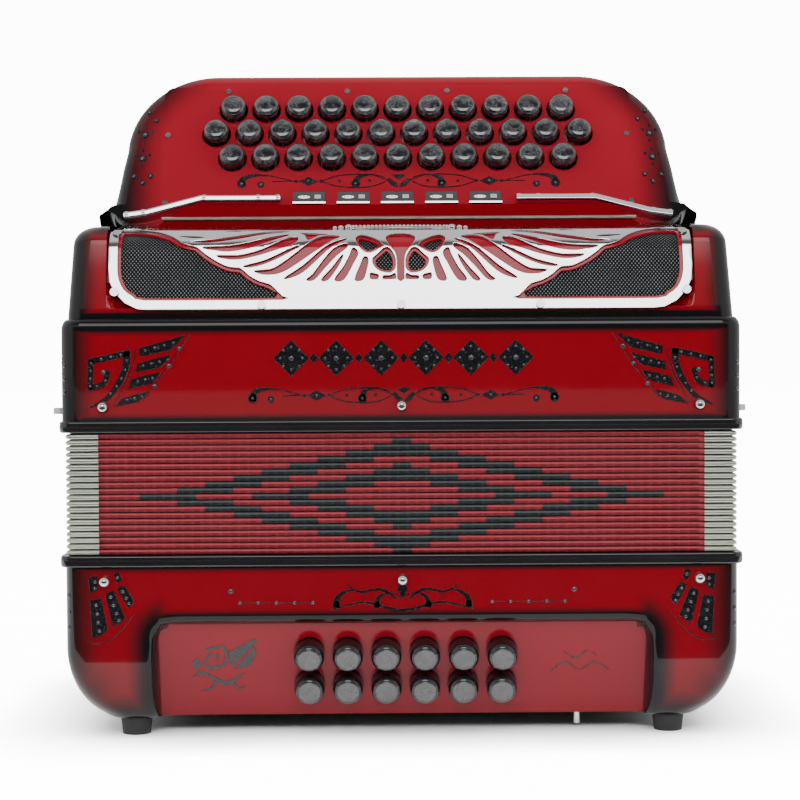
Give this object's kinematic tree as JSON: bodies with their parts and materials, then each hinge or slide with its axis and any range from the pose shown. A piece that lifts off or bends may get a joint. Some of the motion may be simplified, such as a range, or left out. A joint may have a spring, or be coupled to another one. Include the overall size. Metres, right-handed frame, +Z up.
{
  "type": "button accordion",
  "caption": "Diatonic button accordion standing on its bass end, with folded bellows, a pierced chrome grille, a raked treble keyboard and bass buttons.",
  "frame": {"origin": "centre of the footprint at the height of the feet's undersides", "axes": "+X along the instrument's width, to the right seen from the front; the grille faces -Y; +Z up, towards the fingerboard"},
  "size_m": [0.3436, 0.195, 0.3253],
  "materials": {
    "red_lacquer": "high-gloss lacquer, black sunburst at the edges",
    "black_lacquer": "high-gloss lacquer",
    "red_panel": "glossy celluloid sheet",
    "chrome": "polished",
    "steel": "bright",
    "aluminium": "plain",
    "reed_wood": "plain maple",
    "rubber": "matt",
    "black_leather": "grained",
    "red_leather": "grained",
    "bellows_cloth": "woven bellows cloth on card",
    "mesh_cloth": "perforated cloth",
    "black_pearl": "black pearl",
    "switch_black": "polished",
    "ornament_black": "black enamel",
    "crystal": "faceted dark crystal"
  },
  "bodies": {
    "bass_section": {"bass_casing": "red_lacquer", "bass_end_cover": "red_lacquer", "bass_cover_screws": "steel", "bass_button_panel": "red_panel", "bass_guide_board": "reed_wood", "rubber_feet": "rubber", "foot_screws": "steel", "bass_bellows_frame": "black_lacquer", "bass_frame_pins": "chrome", "bass_reed_board": "reed_wood", "bass_reed_blocks": "reed_wood", "bass_reed_plates": "aluminium", "strap_brackets": "chrome", "hand_strap": "black_leather", "bellows_folds": "bellows_cloth", "bellows_corners": "chrome"},
    "treble_section": {"treble_bellows_frame": "black_lacquer", "treble_frame_pins": "chrome", "treble_casing": "red_lacquer", "treble_sound_board": "reed_wood", "treble_reed_blocks": "reed_wood", "treble_reed_plates": "aluminium", "grille": "chrome", "grille_mesh": "mesh_cloth", "grille_screws": "steel", "register_housing": "red_lacquer", "register_trim_bars": "chrome", "fingerboard": "red_lacquer", "button_plate": "red_panel", "button_plate_screws": "steel", "fingerboard_back_cover": "red_lacquer", "lever_axle": "steel", "shoulder_strap_brackets": "chrome", "bellows_strap": "red_leather"},
    "bass_button_01": {"bass_button_01": "black_pearl"},
    "bass_button_02": {"bass_button_02": "black_pearl"},
    "bass_button_03": {"bass_button_03": "black_pearl"},
    "bass_button_04": {"bass_button_04": "black_pearl"},
    "bass_button_05": {"bass_button_05": "black_pearl"},
    "bass_button_06": {"bass_button_06": "black_pearl"},
    "bass_button_07": {"bass_button_07": "black_pearl"},
    "bass_button_08": {"bass_button_08": "black_pearl"},
    "bass_button_09": {"bass_button_09": "black_pearl"},
    "bass_button_10": {"bass_button_10": "black_pearl"},
    "bass_button_11": {"bass_button_11": "black_pearl"},
    "bass_button_12": {"bass_button_12": "black_pearl"},
    "air_button": {"air_button": "chrome"},
    "strap_adjusting_wheel": {"strap_adjusting_wheel": "chrome"},
    "register_switch_1": {"register_switch_1": "switch_black"},
    "register_switch_2": {"register_switch_2": "switch_black"},
    "register_switch_3": {"register_switch_3": "switch_black"},
    "register_switch_4": {"register_switch_4": "switch_black"},
    "register_switch_5": {"register_switch_5": "switch_black"},
    "treble_row_1": {"treble_buttons_row_1": "black_pearl", "treble_levers_row_1": "aluminium"},
    "treble_row_2": {"treble_buttons_row_2": "black_pearl", "treble_levers_row_2": "aluminium"},
    "treble_row_3": {"treble_buttons_row_3": "black_pearl", "treble_levers_row_3": "aluminium"}
  },
  "joints": [
    {"name": "bellows_open", "type": "slide", "parent": "bass_section", "child": "treble_section", "axis": [0, 0, 1], "range_m": [0, 0.24], "deforming": ["bellows_folds", "bellows_corners"]},
    {"name": "bass_button_01_press", "type": "slide", "parent": "bass_section", "child": "bass_button_01", "axis": [0, 0.95, 0.3123], "range_m": [0, 0.0045], "stiffness_N_per_m": 150, "springref_m": -0.004},
    {"name": "bass_button_02_press", "type": "slide", "parent": "bass_section", "child": "bass_button_02", "axis": [0, 0.95, 0.3123], "range_m": [0, 0.0045], "stiffness_N_per_m": 150, "springref_m": -0.004},
    {"name": "bass_button_03_press", "type": "slide", "parent": "bass_section", "child": "bass_button_03", "axis": [0, 0.95, 0.3123], "range_m": [0, 0.0045], "stiffness_N_per_m": 150, "springref_m": -0.004},
    {"name": "bass_button_04_press", "type": "slide", "parent": "bass_section", "child": "bass_button_04", "axis": [0, 0.95, 0.3123], "range_m": [0, 0.0045], "stiffness_N_per_m": 150, "springref_m": -0.004},
    {"name": "bass_button_05_press", "type": "slide", "parent": "bass_section", "child": "bass_button_05", "axis": [0, 0.95, 0.3123], "range_m": [0, 0.0045], "stiffness_N_per_m": 150, "springref_m": -0.004},
    {"name": "bass_button_06_press", "type": "slide", "parent": "bass_section", "child": "bass_button_06", "axis": [0, 0.95, 0.3123], "range_m": [0, 0.0045], "stiffness_N_per_m": 150, "springref_m": -0.004},
    {"name": "bass_button_07_press", "type": "slide", "parent": "bass_section", "child": "bass_button_07", "axis": [0, 0.95, 0.3123], "range_m": [0, 0.0045], "stiffness_N_per_m": 150, "springref_m": -0.004},
    {"name": "bass_button_08_press", "type": "slide", "parent": "bass_section", "child": "bass_button_08", "axis": [0, 0.95, 0.3123], "range_m": [0, 0.0045], "stiffness_N_per_m": 150, "springref_m": -0.004},
    {"name": "bass_button_09_press", "type": "slide", "parent": "bass_section", "child": "bass_button_09", "axis": [0, 0.95, 0.3123], "range_m": [0, 0.0045], "stiffness_N_per_m": 150, "springref_m": -0.004},
    {"name": "bass_button_10_press", "type": "slide", "parent": "bass_section", "child": "bass_button_10", "axis": [0, 0.95, 0.3123], "range_m": [0, 0.0045], "stiffness_N_per_m": 150, "springref_m": -0.004},
    {"name": "bass_button_11_press", "type": "slide", "parent": "bass_section", "child": "bass_button_11", "axis": [0, 0.95, 0.3123], "range_m": [0, 0.0045], "stiffness_N_per_m": 150, "springref_m": -0.004},
    {"name": "bass_button_12_press", "type": "slide", "parent": "bass_section", "child": "bass_button_12", "axis": [0, 0.95, 0.3123], "range_m": [0, 0.0045], "stiffness_N_per_m": 150, "springref_m": -0.004},
    {"name": "air_button_press", "type": "slide", "parent": "bass_section", "child": "air_button", "axis": [0, 0, 1], "range_m": [0, 0.004], "stiffness_N_per_m": 250, "springref_m": -0.004},
    {"name": "strap_wheel_turn", "type": "hinge", "parent": "bass_section", "child": "strap_adjusting_wheel", "pos_m": [0.118, 0.02, 0.0065], "axis": [1, 0, 0], "continuous": true},
    {"name": "register_switch_1_tilt", "type": "hinge", "parent": "treble_section", "child": "register_switch_1", "pos_m": [-0.0446, -0.016, 0.2496], "axis": [1, 0, 0], "range_deg": [0, 8], "stiffness_Nm_per_rad": 0.4, "springref_deg": -5.73},
    {"name": "register_switch_2_tilt", "type": "hinge", "parent": "treble_section", "child": "register_switch_2", "pos_m": [-0.0227, -0.016, 0.2496], "axis": [1, 0, 0], "range_deg": [0, 8], "stiffness_Nm_per_rad": 0.4, "springref_deg": -5.73},
    {"name": "register_switch_3_tilt", "type": "hinge", "parent": "treble_section", "child": "register_switch_3", "pos_m": [-0.0008, -0.016, 0.2496], "axis": [1, 0, 0], "range_deg": [0, 8], "stiffness_Nm_per_rad": 0.4, "springref_deg": -5.73},
    {"name": "register_switch_4_tilt", "type": "hinge", "parent": "treble_section", "child": "register_switch_4", "pos_m": [0.0211, -0.016, 0.2496], "axis": [1, 0, 0], "range_deg": [0, 8], "stiffness_Nm_per_rad": 0.4, "springref_deg": -5.73},
    {"name": "register_switch_5_tilt", "type": "hinge", "parent": "treble_section", "child": "register_switch_5", "pos_m": [0.043, -0.016, 0.2496], "axis": [1, 0, 0], "range_deg": [0, 8], "stiffness_Nm_per_rad": 0.4, "springref_deg": -5.73},
    {"name": "treble_row_1_press", "type": "hinge", "parent": "treble_section", "child": "treble_row_1", "pos_m": [0, -0.00459, 0.23447], "axis": [-1, 0, 0], "range_deg": [0, 2.05], "stiffness_Nm_per_rad": 5, "springref_deg": -5.73},
    {"name": "treble_row_2_press", "type": "hinge", "parent": "treble_section", "child": "treble_row_2", "pos_m": [0, -0.00459, 0.23447], "axis": [-1, 0, 0], "range_deg": [0, 2.6], "stiffness_Nm_per_rad": 5, "springref_deg": -5.73},
    {"name": "treble_row_3_press", "type": "hinge", "parent": "treble_section", "child": "treble_row_3", "pos_m": [0, -0.00459, 0.23447], "axis": [-1, 0, 0], "range_deg": [0, 3.4], "stiffness_Nm_per_rad": 5, "springref_deg": -5.73}
  ]
}
